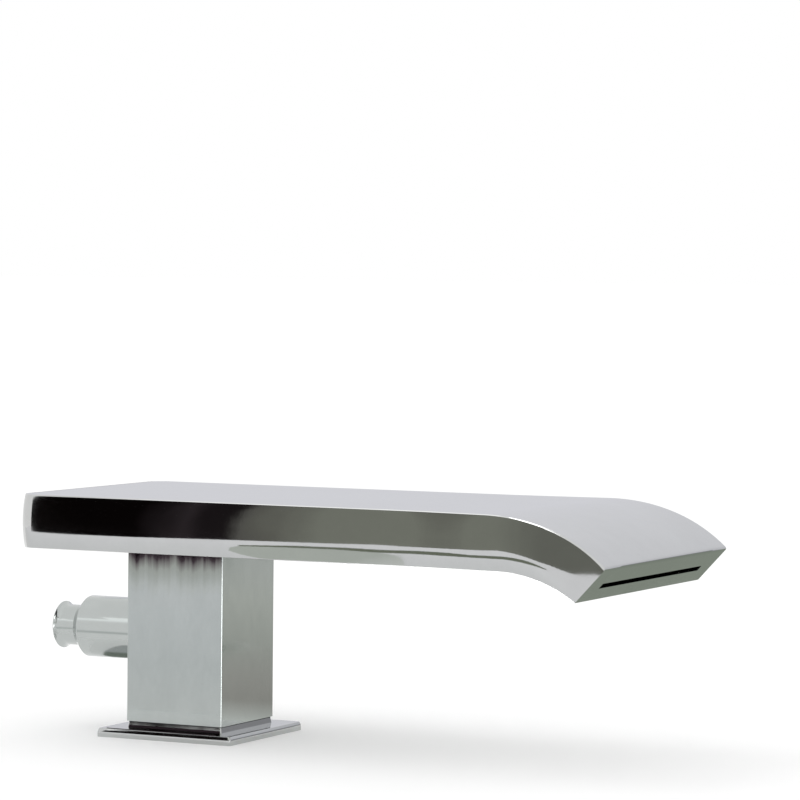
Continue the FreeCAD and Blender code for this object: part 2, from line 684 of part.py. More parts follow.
def stem_oring_stations():
    return [GLAND_X + GLAND_LENGTH * share for share in (1 / 3, 2 / 3)]


def stem_oring_mean_r():
    return STEM_R + ORING_R + 2 * SEAL_GAP


def make_gland_bush():
    bush = rod_x(GLAND_R, GLAND_X, THREAD_END_X)
    bush = bush.cut(rod_x(STEM_R + RUNNING_FIT, GLAND_X - CUT_OVERRUN, THREAD_END_X + CUT_OVERRUN))
    groove_r = stem_oring_mean_r() + ORING_R + SEAL_GAP
    for x in stem_oring_stations():
        bush = bush.cut(rod_x(groove_r, x - ORING_GROOVE_W / 2, x + ORING_GROOVE_W / 2))
    return bush


def make_stem_orings():
    return Part.makeCompound([
        Part.makeTorus(stem_oring_mean_r(), ORING_R, vec(x, 0, VALVE_Z), vec(1, 0, 0))
        for x in stem_oring_stations()
    ])


def seat_ring(face_x, back_x):
    """Pressed-in seat with a raised bead on the side that the disc meets."""
    outer = VALVE_BORE_R - SEAL_GAP
    towards_back = math.copysign(1, back_x - face_x)
    land_x = face_x + SEAT_BEAD_H * towards_back
    bead_r = SEAT_BORE_R + SEAT_BEAD_W
    return turned_polygon([
        (face_x, SEAT_BORE_R),
        (face_x, bead_r),
        (land_x, bead_r + SEAT_BEAD_H),
        (land_x, outer),
        (back_x, outer),
        (back_x, SEAT_BORE_R),
    ])


def make_spout_seat():
    return seat_ring(SPOUT_SEAT_X + SEAT_T, SPOUT_SEAT_X)


def make_shower_seat():
    return seat_ring(SHOWER_SEAT_X, SHOWER_SEAT_X + SEAT_T)


# Diverter: moving pieces, drawn pushed in

def make_pull_knob():
    lip_x = KNOB_END_X + KNOB_LIP_W
    flare_x = lip_x + KNOB_FLARE_LENGTH
    dish_x = KNOB_END_X + KNOB_DISH_DEPTH
    dish_r = KNOB_LIP_R - KNOB_RIM_W
    flare_turn = 2 * math.atan2(KNOB_LIP_H, KNOB_FLARE_LENGTH)
    flare_r = KNOB_FLARE_LENGTH / math.sin(flare_turn)

    def at(x, radius):
        return vec(x, 0, VALVE_Z + radius)

    def flare_at(turn):
        return at(flare_x - flare_r * math.sin(turn), KNOB_NECK_R + flare_r * (1 - math.cos(turn)))

    edges = [
        line(at(dish_x, 0), at(KNOB_INNER_X, 0)),
        line(at(KNOB_INNER_X, 0), at(KNOB_INNER_X, KNOB_NECK_R)),
        line(at(KNOB_INNER_X, KNOB_NECK_R), flare_at(0)),
        arc(flare_at(0), flare_at(flare_turn / 2), flare_at(flare_turn)),
        line(flare_at(flare_turn), at(KNOB_END_X + KNOB_EDGE_R, KNOB_LIP_R)),
        line(at(KNOB_END_X + KNOB_EDGE_R, KNOB_LIP_R), at(KNOB_END_X, KNOB_LIP_R - KNOB_EDGE_R)),
        line(at(KNOB_END_X, KNOB_LIP_R - KNOB_EDGE_R), at(KNOB_END_X, dish_r)),
        line(at(KNOB_END_X, dish_r), at(dish_x, dish_r - KNOB_DISH_DEPTH)),
        line(at(dish_x, dish_r - KNOB_DISH_DEPTH), at(dish_x, 0)),
    ]
    knob = turned_about_valve_axis(edges)
    thread_end = KNOB_INNER_X - KNOB_THREAD_LENGTH - SLIP_FIT
    return knob.cut(rod_x(STEM_THREAD_R + THREAD_FIT, thread_end, KNOB_INNER_X + CUT_OVERRUN))


def make_diverter_stem():
    shoulder_x = DISC_X - BACKING_T
    tip_x = DISC_X + DISC_T + NUT_T + STEM_TIP_LENGTH
    return turned_polygon([
        (KNOB_INNER_X - KNOB_THREAD_LENGTH, 0),
        (KNOB_INNER_X - KNOB_THREAD_LENGTH, STEM_THREAD_R),
        (KNOB_INNER_X, STEM_THREAD_R),
        (KNOB_INNER_X, STEM_R),
        (COLLAR_X, STEM_R),
        (COLLAR_X, SPRING_COLLAR_R),
        (COLLAR_X + SPRING_COLLAR_T, SPRING_COLLAR_R),
        (COLLAR_X + SPRING_COLLAR_T, STEM_R),
        (shoulder_x, STEM_R),
        (shoulder_x, STEM_THREAD_R),
        (tip_x, STEM_THREAD_R),
        (tip_x, 0),
    ])


def threaded_on_stem(blank, x0, x1):
    return blank.cut(rod_x(STEM_THREAD_R + THREAD_FIT, x0 - CUT_OVERRUN, x1 + CUT_OVERRUN))


def make_backing_washer():
    start = DISC_X - BACKING_T
    return threaded_on_stem(rod_x(BACKING_R, start, DISC_X), start, DISC_X)


def make_valve_disc():
    end = DISC_X + DISC_T
    return threaded_on_stem(rod_x(DISC_R, DISC_X, end), DISC_X, end)


def make_disc_nut():
    start = DISC_X + DISC_T
    blank = hexagon_prism(NUT_AF, vec(start, 0, VALVE_Z), vec(NUT_T, 0, 0))
    return threaded_on_stem(blank, start, start + NUT_T)


def biarc(start, start_dir, end, end_dir):
    """Two arcs that leave start and reach end along the given unit directions."""
    chord = end - start
    sum_dir = start_dir + end_dir
    a = 2 * (1 - start_dir.dot(end_dir))
    b = 2 * chord.dot(sum_dir)
    reach = (math.sqrt(b * b + 4 * a * chord.dot(chord)) - b) / (2 * a)
    first, second = start + start_dir * reach, end - end_dir * reach
    joint = (first + second) * 0.5

    def tangent_arc(p, corner, q):
        middle = (p + q) * 0.5
        half_chord = (q - p).Length / 2
        to_corner = corner - middle
        sagitta = half_chord * math.tan(math.atan2(to_corner.Length, half_chord) / 2)
        return arc(p, middle + to_corner.normalize() * sagitta, q)

    return [tangent_arc(start, first, joint), tangent_arc(joint, second, end)]


def make_return_spring():
    """Coil spring round the stem, between the bonnet's web and the stem's collar."""
    first_x = SPRING_REST_X + SPRING_WIRE_R + SEAT_GAP
    last_x = COLLAR_X - SPRING_WIRE_R - SEAT_GAP
    rise = (last_x - first_x) / (2 * math.pi * SPRING_TURNS)

    def point(turn):
        y, z = SPRING_MEAN_R * math.cos(turn), SPRING_MEAN_R * math.sin(turn)
        return vec(first_x + rise * turn, y, VALVE_Z + z)

    def direction(turn):
        y, z = -SPRING_MEAN_R * math.sin(turn), SPRING_MEAN_R * math.cos(turn)
        return vec(rise, y, z).normalize()

    step = 2 * math.pi / SPRING_ARCS_PER_TURN
    edges = []
    for i in range(SPRING_TURNS * SPRING_ARCS_PER_TURN):
        a, b = i * step, (i + 1) * step
        edges += biarc(point(a), direction(a), point(b), direction(b))
    path = Part.Wire(edges)
    section = Part.Wire(Part.makeCircle(SPRING_WIRE_R, point(0), direction(0)))
    pipe = Part.BRepOffsetAPI.MakePipeShell(path)
    pipe.add(section)
    pipe.build()
    pipe.makeSolid()
    spring = pipe.shape()
    pitch = (last_x - first_x) / SPRING_TURNS
    print("spring: least gap between turns %.2f" % (pitch - 2 * SPRING_WIRE_R))
    print("spring: volume over section times length %.4f"
          % (spring.Volume / (math.pi * SPRING_WIRE_R ** 2 * path.Length)))
    return spring


# Fixing under the deck

def make_shank():
    tail = rod_z(SHANK_R, -SHANK_LENGTH, PLATE_T)

    def is_free_rim(edge):
        return edge.BoundBox.ZMax < -SHANK_LENGTH + SHANK_CHAMFER

    tail = tail.makeChamfer(SHANK_CHAMFER, [edge for edge in tail.Edges if is_free_rim(edge)])
    spigot_top = PLATE_T + SHANK_SPIGOT_H
    tail = tail.fuse(rod_z(SHANK_SPIGOT_R, PLATE_T, spigot_top)).removeSplitter()
    return tail.cut(rod_z(SHANK_BORE_R, -SHANK_LENGTH - CUT_OVERRUN, spigot_top + CUT_OVERRUN))


def make_rubber_washer():
    return ring_z(TAP_HOLE_R + RUBBER_WASHER_W, TAP_HOLE_R, -DECK_T - RUBBER_WASHER_T, -DECK_T)


def make_steel_washer():
    top = -DECK_T - RUBBER_WASHER_T
    return ring_z(TAP_HOLE_R + STEEL_WASHER_W, TAP_HOLE_R, top - STEEL_WASHER_T, top)


def make_lock_nut():
    top = -DECK_T - RUBBER_WASHER_T - STEEL_WASHER_T
    crown_r = SHANK_R + LOCK_NUT_WALL
    nut = hexagon_prism(2 * crown_r, vec(0, 0, top - LOCK_NUT_T), vec(0, 0, LOCK_NUT_T))
    cone_r = crown_r + LOCK_NUT_T / math.tan(LOCK_NUT_CROWN_ANGLE)
    crown = Part.makeCone(crown_r, cone_r, LOCK_NUT_T, vec(0, 0, top - LOCK_NUT_T), vec(0, 0, 1))
    nut = nut.common(crown)
    return nut.cut(rod_z(SHANK_R + THREAD_FIT, top - LOCK_NUT_T - CUT_OVERRUN, top + CUT_OVERRUN))


NODES = {
    "spout_shell": make_spout_shell,
    "bottom_plate": make_bottom_plate,
    "flow_baffle": make_flow_baffle,
    "column": make_column,
    "column_seal": make_column_seal,
    "base_plate": make_base_plate,
    "base_gasket": make_base_gasket,
    "spout_grub_screws": make_spout_grub_screws,
    "valve_body": make_valve_body,
    "riser_nipple": make_riser_nipple,
    "riser_orings": make_riser_orings,
    "bonnet": make_bonnet,
    "bonnet_oring": make_bonnet_oring,
    "gland_bush": make_gland_bush,
    "stem_orings": make_stem_orings,
    "spout_seat": make_spout_seat,
    "shower_seat": make_shower_seat,
    "pull_knob": make_pull_knob,
    "diverter_stem": make_diverter_stem,
    "backing_washer": make_backing_washer,
    "valve_disc": make_valve_disc,
    "disc_nut": make_disc_nut,
    "return_spring": make_return_spring,
    "shank": make_shank,
    "rubber_washer": make_rubber_washer,
    "steel_washer": make_steel_washer,
    "lock_nut": make_lock_nut,
}

os.makedirs("parts", exist_ok=True)
for node, make in NODES.items():
    shape = single_solid(make())
    if not shape.isValid():
        raise ValueError(node + " is not a valid shape")
    shape.exportStep(os.path.join("parts", node + ".step"))
    print("%s: %d solid(s), %.0f mm3" % (node, len(shape.Solids), shape.Volume))
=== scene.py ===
import math

import bmesh
import bpy
from mathutils import Matrix, Vector


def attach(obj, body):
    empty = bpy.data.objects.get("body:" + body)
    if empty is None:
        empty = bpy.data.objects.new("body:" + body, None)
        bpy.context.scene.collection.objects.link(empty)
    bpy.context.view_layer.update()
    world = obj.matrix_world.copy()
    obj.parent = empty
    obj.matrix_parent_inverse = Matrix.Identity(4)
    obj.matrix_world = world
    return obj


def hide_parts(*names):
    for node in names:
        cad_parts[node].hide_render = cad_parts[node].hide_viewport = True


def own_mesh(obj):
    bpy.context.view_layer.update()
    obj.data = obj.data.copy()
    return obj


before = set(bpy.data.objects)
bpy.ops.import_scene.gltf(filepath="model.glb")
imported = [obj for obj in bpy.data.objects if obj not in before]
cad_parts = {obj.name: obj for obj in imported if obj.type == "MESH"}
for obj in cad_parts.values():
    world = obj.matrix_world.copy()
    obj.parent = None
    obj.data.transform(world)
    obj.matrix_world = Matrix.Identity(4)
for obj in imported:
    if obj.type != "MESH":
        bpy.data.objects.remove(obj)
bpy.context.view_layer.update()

# Sizes are in millimetres, as on the drawing of the spout, and become metres where a mesh is made.
MM = 0.001
QUARTER_TURN = math.pi / 2

# Slab: side view
SLAB_TOP_Z = 90.0
SLAB_BOTTOM_Z = 70.5
REAR_X = -48.0
REAR_CORNER_R = 6.0
TIP_X = 187.0
TIP_DROP = 16.65
TIP_T = 16.5
TIP_ANGLE = math.radians(42.5)
END_TILT = math.radians(43.0)
BEND_R = 75.0
BEND_ANGLE = math.radians(20.0)
BELLY_BEND_LENGTH = 40.0

# Slab: half widths and barrel
TOP_HALF_WIDTH = 50.5
BOTTOM_STEP_OUT = 0.75
REAR_STEP_OUT = -0.2
SIDE_BULGE = 0.95
TIP_FLARE = 5.48
TIP_BULGE = 0.1
FLARE_LENGTH = 87.0
FLARE_RUN = 65.0
BARREL_FADE_LENGTH = 37.0
BARREL_FADE_RUN = 30.0
TIP_LEAN = 0.25
TIP_LEAN_RUN = 12.0

# Slab: lid opening, chamber and slot
LID_FRONT_X = 140.0
CHAMBER_HALF_WIDTH = 47.5
CHAMBER_WALL = 2.5
CHAMBER_FRONT_X = 150.0
SLOT_DROP = 8.2
SLOT_GAP = 2.4
SLOT_DEPTH = 10.0
SLOT_HALF_WIDTH = 45.0

# Slab: mesh steps and edge rounding
LEAN_START_X = 145.0
BEND_STEPS = 24
STRAIGHT_STEPS = 40
CORNER_STEPS = 14
ACROSS_STEPS = 36
DOWN_STEPS = 9
TOP_RIM_R = 0.5
BOTTOM_RIM_R = 0.3
END_TOP_R = 1.2

# Slab: arcs of the bend and of the belly, worked out from the sizes above
TIP_R = (TIP_DROP - BEND_R * (1 - math.cos(BEND_ANGLE))) / (math.cos(BEND_ANGLE) - math.cos(TIP_ANGLE))
BEND_MID_X = TIP_X - TIP_R * (math.sin(TIP_ANGLE) - math.sin(BEND_ANGLE))
BEND_X = BEND_MID_X - BEND_R * math.sin(BEND_ANGLE)
BEND_CENTRE_Z = SLAB_TOP_Z - BEND_R
TIP_CENTRE_X = BEND_MID_X - TIP_R * math.sin(BEND_ANGLE)
TIP_CENTRE_Z = BEND_CENTRE_Z + (BEND_R - TIP_R) * math.cos(BEND_ANGLE)
TIP_Z = SLAB_TOP_Z - TIP_DROP
HEEL_X = TIP_X - TIP_T * math.sin(END_TILT)
HEEL_Z = TIP_Z - TIP_T * math.cos(END_TILT)
BELLY_BEND_X = TIP_X - BELLY_BEND_LENGTH
BELLY_RUN = HEEL_X - BELLY_BEND_X
BELLY_ANGLE = 2 * math.atan2(SLAB_BOTTOM_Z - HEEL_Z, BELLY_RUN)
BELLY_R = BELLY_RUN / math.sin(BELLY_ANGLE)

# Base plate with its raised step, tap hole and gasket groove
PLATE_HALF = 28.0
PLATE_T = 3.2
PLATE_CORNER_R = 0.9
PLATE_CORNER_STEPS = 6
PLATE_CROWN_Z = 1.3
PLATE_CROWN_ANGLE = math.radians(26.0)
PLATE_CROWN_STEPS = 8
PLATE_LIP_R = 0.25
PLATE_LIP_STEPS = 4
STEP_HALF = 19.7
STEP_H = 1.9
STEP_DRAFT = math.radians(9.0)
STEP_CORNER_R = PLATE_CORNER_R / 2
STEP_BORE_HALF = 17.6
TAP_HOLE_R = 16.8
GROOVE_INNER_R = 19.0
GROOVE_OUTER_R = 23.6
GROOVE_DEPTH = 1.6

# Diverter bonnet, turned about the valve's axis, with the seal groove in its thread
VALVE_Z = 37.7
BONNET_X = -20.0
BONNET_R = 11.5
CONE_X = -47.1
CONE_END_X = -50.4
CONE_END_R = 8.3
CONE_ROUND = 0.2
BONNET_ROUND = 0.15
KNOB_BORE_R = 7.65
KNOB_SOCKET_X = -43.5
STEM_BORE_R = 3.3
SPRING_REST_X = -41.0
SPRING_CAVITY_R = 6.0
GLAND_X = -24.9
GLAND_BORE_R = 6.8
BONNET_THREAD_R = 9.95
BONNET_THREAD_END_X = -12.5
BONNET_GROOVE_X = -14.2
BONNET_GROOVE_W = 2.0
BONNET_GROOVE_R = 8.45

# Return spring between the bonnet's web and the stem's collar, which comes nearer as the knob is pulled
COLLAR_X = -27.4
SPRING_MEAN_R = 4.4
SPRING_WIRE_R = 0.5
SPRING_SEAT_GAP = 0.1
SPRING_TURNS = 5
SPRING_STEPS = 48
WIRE_STEPS = 16

# Threaded shank below the plate, with the spigot that locates it in the column
SHANK_R = 16.5
SHANK_FOOT_Z = -45.0
SHANK_CHAMFER = 1.0
SHANK_BORE_R = 14.2
SPIGOT_R = 15.4
SPIGOT_H = 8.0
THREAD_PITCH = 2.0
THREAD_DEPTH = 0.9
THREAD_TOP_Z = -1.0
THREAD_STEPS = 8

# Meshes: distances that count as none, how far a cutter runs past what it cuts, steps and shading
WELD = 0.001
TOUCH = 0.01
OVERRUN = 1.0
ROUND_STEPS = 96
ROUNDING_SEGMENTS = 3
SHARP_ANGLE = math.radians(30.0)
SMOOTH_ANGLE = math.radians(32.0)
WIRE_SMOOTH_ANGLE = math.radians(60.0)
LARGE_FACE_WEIGHT = 100

# Finishes: the noise behind tones, roughness, grain and clouds, and the range that it mostly keeps to
EVEN = (1.0, 1.0, 1.0)
TONE_DETAIL = 10.0
TONE_SPECKLE = 0.8
PATCH_DETAIL = 5.0
PATCHES_PER_TONE = 2.5
GRAIN_DETAIL = 2.0
CLOUD_DETAIL = 4.0
PLAIN_SPECKLE = 0.5
NOISE_LOW = 0.3
NOISE_HIGH = 0.7

# Studio: level of the cards on the floor, gap and half width of those above the diverter, and white
FLOOR_CARD_Z = 2.0
ROOF_CARD_GAP = 0.3
ROOF_CARD_HALF = 40.0
WHITE = (1.0, 1.0, 1.0)


def clamped(share):
    """The share, kept between 0 and 1."""
    return min(max(share, 0.0), 1.0)


def smooth_step(share):
    """Eased rise from 0 to 1."""
    s = clamped(share)
    return s * s * (3 - 2 * s)


def turns_round(steps):
    """Angles at equal steps round a full turn."""
    return [2 * math.pi * i / steps for i in range(steps)]


def top_height(x):
    """Level of the slab's top: flat, then the two arcs of the bend."""
    if x <= BEND_X:
        return SLAB_TOP_Z
    if x <= BEND_MID_X:
        return BEND_CENTRE_Z + math.sqrt(BEND_R ** 2 - (x - BEND_X) ** 2)
    return TIP_CENTRE_Z + math.sqrt(TIP_R ** 2 - (x - TIP_CENTRE_X) ** 2)


def belly_height(x):
    """Level of the slab's underside: flat, then one arc down to the heel, and straight on from there."""
    if x <= BELLY_BEND_X:
        return SLAB_BOTTOM_Z
    if x <= HEEL_X:
        return SLAB_BOTTOM_Z - BELLY_R + math.sqrt(BELLY_R ** 2 - (x - BELLY_BEND_X) ** 2)
    return HEEL_Z - math.tan(BELLY_ANGLE) * (x - HEEL_X)


def barrel(down, step_out, bulge):
    """How far the wall stands out from its top edge, at this share of the way down."""
    return step_out * down + 4 * bulge * down * (1 - down)


def half_width(x, down):
    """Half the slab's width, which flares towards the tip while the barrel fades."""
    flare = TIP_FLARE * smooth_step((x - TIP_X + FLARE_LENGTH) / FLARE_RUN)
    share = 1 - smooth_step((x - TIP_X + BARREL_FADE_LENGTH) / BARREL_FADE_RUN)
    lean = TIP_LEAN * smooth_step((x - TIP_X + TIP_LEAN_RUN) / TIP_LEAN_RUN)
    bulge = SIDE_BULGE * share + TIP_BULGE * (1 - share)
    return TOP_HALF_WIDTH + flare + barrel(down, BOTTOM_STEP_OUT * share - lean, bulge)


def side_column(x_top):
    """Points of the near wall from its top edge down; towards the tip they lean like the end face."""
    lean = max(0.0, (x_top - LEAN_START_X) / (TIP_X - LEAN_START_X)) ** 2
    x_bottom = x_top - (TIP_X - HEEL_X) * lean
    z_top, z_bottom = top_height(x_top), belly_height(x_bottom)
    points = []
    for i in range(DOWN_STEPS + 1):
        share = i / DOWN_STEPS
        x = x_top + (x_bottom - x_top) * share
        z = z_top + (z_bottom - z_top) * share
        down = (top_height(x) - z) / (top_height(x) - belly_height(x))
        points.append(Vector((x, -half_width(x, down), z)))
    return points


def corner_column(turn):
    """Points of the rounded rear corner, turned from the side (0) to the rear (quarter turn)."""
    centre_x, centre_y = REAR_X + REAR_CORNER_R, -(TOP_HALF_WIDTH - REAR_CORNER_R)
    step_out = BOTTOM_STEP_OUT + (REAR_STEP_OUT - BOTTOM_STEP_OUT) * smooth_step(turn / QUARTER_TURN)
    points = []
    for i in range(DOWN_STEPS + 1):
        down = i / DOWN_STEPS
        reach = REAR_CORNER_R + barrel(down, step_out, SIDE_BULGE)
        z = SLAB_TOP_Z + (SLAB_BOTTOM_Z - SLAB_TOP_Z) * down
        points.append(Vector((centre_x - reach * math.sin(turn), centre_y - reach * math.cos(turn), z)))
    return points


def near_wall():
    """Columns of the near wall, from the tip to the end of the rear corner."""
    straight_end = REAR_X + REAR_CORNER_R
    xs = [TIP_X + (BEND_X - TIP_X) * i / BEND_STEPS for i in range(BEND_STEPS)]
    xs += [BEND_X + (straight_end - BEND_X) * i / STRAIGHT_STEPS for i in range(STRAIGHT_STEPS)]
    turns = [QUARTER_TURN * i / CORNER_STEPS for i in range(CORNER_STEPS + 1)]
    return [side_column(x) for x in xs] + [corner_column(turn) for turn in turns]


def mirrored(p):
    """The same point on the far side."""
    return Vector((p.x, -p.y, p.z))


def across(p):
    """Points from a point of the near wall straight over to the far wall."""
    q = mirrored(p)
    return [p.lerp(q, j / ACROSS_STEPS) for j in range(ACROSS_STEPS + 1)]


def grid_faces(bm, rows):
    """Quads between rows of points; points that coincide are welded later."""
    verts = [[bm.verts.new(p * MM) for p in row] for row in rows]
    for a, b in zip(verts, verts[1:]):
        for i in range(len(a) - 1):
            bm.faces.new((a[i], a[i + 1], b[i + 1], b[i]))


def mark_edges(bm, radius_of):
    """Stores the rounding of every sharp edge, in millimetres, as its bevel weight."""
    weights = bm.edges.layers.float.new("bevel_weight_edge")
    for edge in bm.edges:
        if edge.calc_face_angle(0.0) > SHARP_ANGLE:
            edge[weights] = radius_of(edge)


def closed_mesh(bm, name, radius_of=None):
    """Welds the faces to one shell, turns them outwards and marks the edges that are to be rounded."""
    bmesh.ops.remove_doubles(bm, verts=bm.verts, dist=WELD * MM)
    bmesh.ops.recalc_face_normals(bm, faces=bm.faces)
    if radius_of:
        mark_edges(bm, radius_of)
    mesh = bpy.data.meshes.new(name)
    bm.to_mesh(mesh)
    bm.free()
    return mesh


def prism_mesh(name, outline, half):
    """Prism along Y from an outline of (x, z) corners."""
    bm = bmesh.new()
    near = [bm.verts.new(Vector((x, -half, z)) * MM) for x, z in outline]
    far = [bm.verts.new(Vector((x, half, z)) * MM) for x, z in outline]
    bm.faces.new(near)
    bm.faces.new(far[::-1])
    count = len(outline)
    for i in range(count):
        j = (i + 1) % count
        bm.faces.new((near[i], far[i], far[j], near[j]))
    return closed_mesh(bm, name)


def stacked_mesh(name, rings, ring_shaped=False, radius_of=None):
    """Solid from a stack of outlines with equal counts; ring-shaped ones close on themselves."""
    bm = bmesh.new()
    loops = [[bm.verts.new(p * MM) for p in ring] for ring in rings]
    pairs = list(zip(loops, loops[1:]))
    if ring_shaped:
        pairs.append((loops[-1], loops[0]))
    else:
        bm.faces.new(loops[0][::-1])
        bm.faces.new(loops[-1])
    for low, high in pairs:
        for i in range(len(low)):
            j = (i + 1) % len(low)
            bm.faces.new((low[i], low[j], high[j], high[i]))
    return closed_mesh(bm, name, radius_of)


def rounded_square(half, corner_r, z):
    """Points round a square with rounded corners, at one level."""
    points = []
    for quarter, (sx, sy) in enumerate(((1, 1), (-1, 1), (-1, -1), (1, -1))):
        for i in range(PLATE_CORNER_STEPS + 1):
            turn = QUARTER_TURN * (quarter + i / PLATE_CORNER_STEPS)
            x = sx * (half - corner_r) + corner_r * math.cos(turn)
            y = sy * (half - corner_r) + corner_r * math.sin(turn)
            points.append(Vector((x, y, z)))
    return points


def circle(radius, z):
    """Points round the upright axis, at one level."""
    return [Vector((radius * math.cos(t), radius * math.sin(t), z)) for t in turns_round(ROUND_STEPS)]


def turned_ring(x, radius):
    """Points round the valve's axis."""
    turns = turns_round(ROUND_STEPS)
    return [Vector((x, radius * math.cos(t), VALVE_Z + radius * math.sin(t))) for t in turns]


def new_piece(mesh):
    """Object with the name of its mesh."""
    piece = bpy.data.objects.new(mesh.name, mesh)
    bpy.context.scene.collection.objects.link(piece)
    return piece


def apply_modifiers(piece):
    """Bakes the piece's modifiers into its mesh."""
    graph = bpy.context.evaluated_depsgraph_get()
    graph.update()
    baked = bpy.data.meshes.new_from_object(piece.evaluated_get(graph))
    piece.modifiers.clear()
    piece.data = baked


def round_edges(piece):
    """Rounds the marked edges."""
    bevel = piece.modifiers.new("edge_rounding", "BEVEL")
    bevel.width = MM
    bevel.segments = ROUNDING_SEGMENTS
    bevel.limit_method = "WEIGHT"
    bevel.use_clamp_overlap = False


def cut_away(piece, cutters):
    """Cuts the shapes of the meshes out of the piece."""
    for mesh in cutters:
        cutter = new_piece(mesh)
        boolean = piece.modifiers.new("cut", "BOOLEAN")
        boolean.operation = "DIFFERENCE"
        boolean.solver = "EXACT"
        boolean.object = cutter
        apply_modifiers(piece)
        bpy.data.objects.remove(cutter)


def smooth(piece, angle=SMOOTH_ANGLE):
    """Smooth shading that keeps flat faces flat and hard edges hard."""
    piece.data.polygons.foreach_set("use_smooth", [True] * len(piece.data.polygons))
    piece.data.set_sharp_from_angle(angle=angle)
    weighted = piece.modifiers.new("weighted_normals", "WEIGHTED_NORMAL")
    weighted.keep_sharp = True
    weighted.weight = LARGE_FACE_WEIGHT


def end_face_point(down, out):
    """Point (x, z) this far down the end face from its top edge, and this far out from the face."""
    sine, cosine = math.sin(END_TILT), math.cos(END_TILT)
    return TIP_X - down * sine + out * cosine, TIP_Z - down * cosine - out * sine


def slab_edge_radius(edge):
    """Rounding of one sharp edge of the slab: none round the end face, but for its top edge."""
    ends = [v.co / MM for v in edge.verts]
    sine, cosine = math.sin(END_TILT), math.cos(END_TILT)
    on_end_face = all(abs((p.x - TIP_X) * cosine - (p.z - TIP_Z) * sine) < TOUCH for p in ends)
    at_top = all(p.z > top_height(p.x) - TOUCH for p in ends)
    if on_end_face:
        return END_TOP_R if at_top else 0.0
    return TOP_RIM_R if at_top else BOTTOM_RIM_R


def slab_cutters():
    """The slab's chamber, open below where the lid goes, and its slot, as meshes to cut away."""
    chamber_floor = SLAB_BOTTOM_Z + CHAMBER_WALL
    chamber_roof = SLAB_TOP_Z - CHAMBER_WALL
    chamber_rear = REAR_X + CHAMBER_WALL
    roof_xs = (BEND_X, (BEND_X + BEND_MID_X) / 2, BEND_MID_X)
    chamber = prism_mesh("water_chamber", [
        (chamber_rear, SLAB_BOTTOM_Z - OVERRUN),
        (chamber_rear, chamber_roof),
        *[(x, top_height(x) - CHAMBER_WALL) for x in roof_xs],
        end_face_point(SLOT_DROP, -SLOT_DEPTH),
        end_face_point(SLOT_DROP + SLOT_GAP, -SLOT_DEPTH),
        (CHAMBER_FRONT_X, chamber_floor),
        (LID_FRONT_X, chamber_floor),
        (LID_FRONT_X, SLAB_BOTTOM_Z - OVERRUN),
    ], CHAMBER_HALF_WIDTH)
    slot = prism_mesh("slot", [
        end_face_point(SLOT_DROP, -SLOT_DEPTH - OVERRUN),
        end_face_point(SLOT_DROP, OVERRUN),
        end_face_point(SLOT_DROP + SLOT_GAP, OVERRUN),
        end_face_point(SLOT_DROP + SLOT_GAP, -SLOT_DEPTH - OVERRUN),
    ], SLOT_HALF_WIDTH)
    return [chamber, slot]


def make_slab():
    """Hollow slab: two walls, top, underside, end face and rear, then the cuts."""
    wall = near_wall()
    bm = bmesh.new()
    grid_faces(bm, wall)
    grid_faces(bm, [[mirrored(p) for p in column] for column in wall])
    grid_faces(bm, [across(column[0]) for column in wall])
    grid_faces(bm, [across(column[-1]) for column in wall])
    grid_faces(bm, [across(p) for p in wall[0]])
    grid_faces(bm, [across(p) for p in wall[-1]])
    slab = new_piece(closed_mesh(bm, "waterfall_slab", slab_edge_radius))
    round_edges(slab)
    apply_modifiers(slab)
    cut_away(slab, slab_cutters())
    smooth(slab)
    return slab


def arc_levels(half, z, radius, angle, steps):
    """Half widths and levels along an arc that starts upright and turns inwards."""
    turns = [angle * i / steps for i in range(1, steps + 1)]
    return [(half - radius * (1 - math.cos(turn)), z + radius * math.sin(turn)) for turn in turns]


def plate_levels():
    """Half widths and levels of the plate's side: upright, then crowned in towards a small lip."""
    lip_z = PLATE_T - PLATE_LIP_R
    crown_r = (lip_z - PLATE_CROWN_Z) / math.sin(PLATE_CROWN_ANGLE)
    levels = [(PLATE_HALF, 0.0), (PLATE_HALF, PLATE_CROWN_Z)]
    levels += arc_levels(PLATE_HALF, PLATE_CROWN_Z, crown_r, PLATE_CROWN_ANGLE, PLATE_CROWN_STEPS)
    lip_half = levels[-1][0]
    return levels + arc_levels(lip_half, lip_z, PLATE_LIP_R, QUARTER_TURN, PLATE_LIP_STEPS)


def make_plate():
    """Base plate with its drafted step, bored for the shank and grooved for the gasket."""
    step_top = PLATE_T + STEP_H
    step_head = STEP_HALF - STEP_H * math.tan(STEP_DRAFT)
    rings = [rounded_square(half, PLATE_CORNER_R, z) for half, z in plate_levels()]
    rings.append(rounded_square(STEP_HALF, STEP_CORNER_R, PLATE_T))
    rings.append(rounded_square(step_head, STEP_CORNER_R, step_top))
    plate = new_piece(stacked_mesh("deck_plate", rings))
    bore = [rounded_square(STEP_BORE_HALF, PLATE_CORNER_R, z) for z in (PLATE_T, step_top + OVERRUN)]
    hole = [circle(TAP_HOLE_R, z) for z in (-OVERRUN, PLATE_T + OVERRUN)]
    groove = [
        circle(GROOVE_INNER_R, -OVERRUN),
        circle(GROOVE_OUTER_R, -OVERRUN),
        circle(GROOVE_OUTER_R, GROOVE_DEPTH),
        circle(GROOVE_INNER_R, GROOVE_DEPTH),
    ]
    cut_away(plate, [
        stacked_mesh("step_bore", bore),
        stacked_mesh("tap_hole", hole),
        stacked_mesh("gasket_groove", groove, ring_shaped=True),
    ])
    smooth(plate)
    return plate


